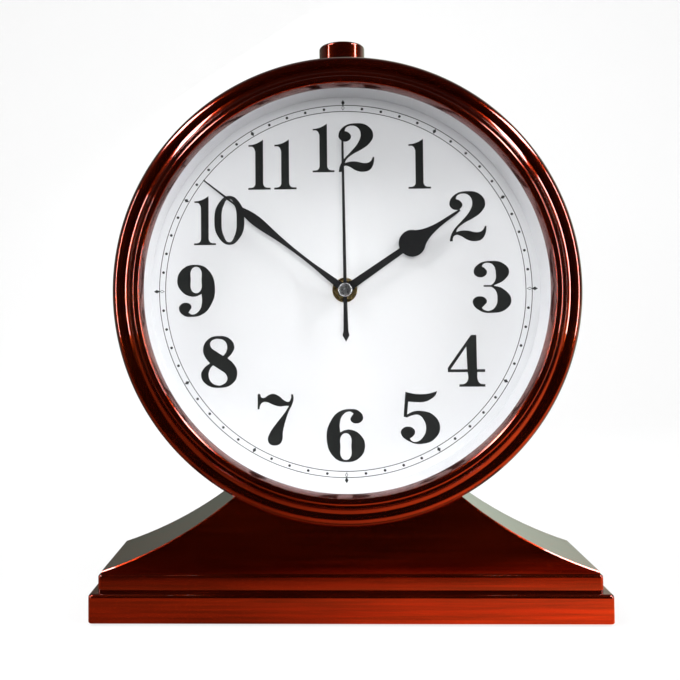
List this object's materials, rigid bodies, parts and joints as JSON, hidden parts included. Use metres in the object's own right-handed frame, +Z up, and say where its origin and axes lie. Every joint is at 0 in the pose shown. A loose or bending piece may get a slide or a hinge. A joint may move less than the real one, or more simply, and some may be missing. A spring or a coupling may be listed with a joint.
{
  "type": "mantel clock",
  "caption": "Round wooden mantel clock on a hollow-sided cradle and stepped plinth, with deep glazed dial, spade hands and a battery quartz movement behind it.",
  "frame": {"origin": "middle of the foot pads, on the surface that the clock stands on", "axes": "+Z up, -Y towards the viewer of the dial, +X to the viewer's right"},
  "size_m": [0.281, 0.078, 0.3225],
  "materials": {
    "mahogany": "high-gloss red mahogany lacquer",
    "dark_board": "flat dark stained fibreboard",
    "pine": "sawn softwood",
    "glass": "clear polished flat glass",
    "dial_white": "satin white enamel paint",
    "rehaut_white": "satin white",
    "hand_black": "satin black paint",
    "silver": "brushed satin",
    "brass": "turned satin",
    "steel": "zinc plated",
    "movement_black": "fine spark-eroded texture",
    "gear_plastic": "natural acetal",
    "copper": "enamelled copper wire",
    "magnet": "sintered magnet, dull",
    "board_green": "solder mask",
    "cell_jacket": "plain printed sleeve, no lettering",
    "rubber": "matt",
    "felt": "pressed felt"
  },
  "bodies": {
    "case": {"back_board": "dark_board", "back_screws": "steel", "base_screws": "steel", "battery_cell": "cell_jacket", "battery_contact": "steel", "battery_spring": "steel", "bearing_plate": "gear_plastic", "bezel_ring": "mahogany", "circuit_board": "board_green", "coil_bobbin": "movement_black", "coil_winding": "copper", "cradle_back_panel": "mahogany", "cradle_front_panel": "mahogany", "cradle_left_slope": "mahogany", "cradle_right_slope": "mahogany", "cradle_saddle": "mahogany", "dial_board": "dark_board", "dial_plate": "dial_white", "dial_screws": "steel", "dial_washer": "brass", "driver_chip": "movement_black", "drum_screws": "steel", "drum_shell": "mahogany", "foot_pads": "felt", "glass_gasket": "rubber", "glass_lens": "glass", "glue_blocks": "pine", "knob_screw": "steel", "knob_washer": "steel", "mounting_nut": "brass", "movement_case": "movement_black", "movement_cover": "movement_black", "plate_screws": "steel", "plinth_lower": "mahogany", "plinth_upper": "mahogany", "quartz_crystal": "steel", "rehaut_ring": "rehaut_white", "rubber_washer": "rubber", "stator_plate": "steel", "threaded_bush": "brass", "top_knob": "mahogany"},
    "seconds": {"seconds_wheel": "gear_plastic", "seconds_arbor": "steel", "second_hand": "hand_black", "centre_cap": "silver"},
    "third": {"third_wheel": "gear_plastic"},
    "centre": {"centre_wheel": "gear_plastic"},
    "intermediate": {"intermediate_wheel": "gear_plastic"},
    "rotor": {"rotor_pinion": "gear_plastic", "rotor_magnet": "magnet"},
    "minute": {"minute_tube": "gear_plastic", "minute_hand": "hand_black"},
    "motion": {"motion_wheel": "gear_plastic"},
    "hour": {"hour_wheel": "gear_plastic", "hour_hand": "hand_black"},
    "setting": {"set_pinion": "gear_plastic", "set_knob": "movement_black"}
  },
  "joints": [
    {"name": "seconds_spin", "type": "hinge", "parent": "case", "child": "seconds", "pos_m": [0, 0, 0.1795], "axis": [0, 1, 0], "continuous": true},
    {"name": "third_spin", "type": "hinge", "parent": "case", "child": "third", "pos_m": [0.00849, 0, 0.18799], "axis": [0, 1, 0], "continuous": true},
    {"name": "centre_spin", "type": "hinge", "parent": "case", "child": "centre", "pos_m": [0, 0, 0.1795], "axis": [0, 1, 0], "continuous": true},
    {"name": "intermediate_spin", "type": "hinge", "parent": "case", "child": "intermediate", "pos_m": [0.01128, 0, 0.1754], "axis": [0, 1, 0], "continuous": true},
    {"name": "rotor_spin", "type": "hinge", "parent": "case", "child": "rotor", "pos_m": [0.01928, 0, 0.1754], "axis": [0, 1, 0], "continuous": true},
    {"name": "minute_spin", "type": "hinge", "parent": "case", "child": "minute", "pos_m": [0, 0, 0.1795], "axis": [0, 1, 0], "continuous": true},
    {"name": "motion_spin", "type": "hinge", "parent": "case", "child": "motion", "pos_m": [-0.00636, 0, 0.18586], "axis": [0, 1, 0], "continuous": true},
    {"name": "hour_spin", "type": "hinge", "parent": "case", "child": "hour", "pos_m": [0, 0, 0.1795], "axis": [0, 1, 0], "continuous": true},
    {"name": "setting_spin", "type": "hinge", "parent": "case", "child": "setting", "pos_m": [-0.01352, 0, 0.19302], "axis": [0, 1, 0], "continuous": true}
  ],
  "couplings": [
    {"joint": "third_spin", "follows": "seconds_spin", "ratio": -0.13333},
    {"joint": "centre_spin", "follows": "seconds_spin", "ratio": 0.016667},
    {"joint": "intermediate_spin", "follows": "seconds_spin", "ratio": -6},
    {"joint": "rotor_spin", "follows": "seconds_spin", "ratio": 30},
    {"joint": "motion_spin", "follows": "minute_spin", "ratio": -0.33333},
    {"joint": "hour_spin", "follows": "minute_spin", "ratio": 0.083333},
    {"joint": "setting_spin", "follows": "minute_spin", "ratio": 0.66667}
  ]
}
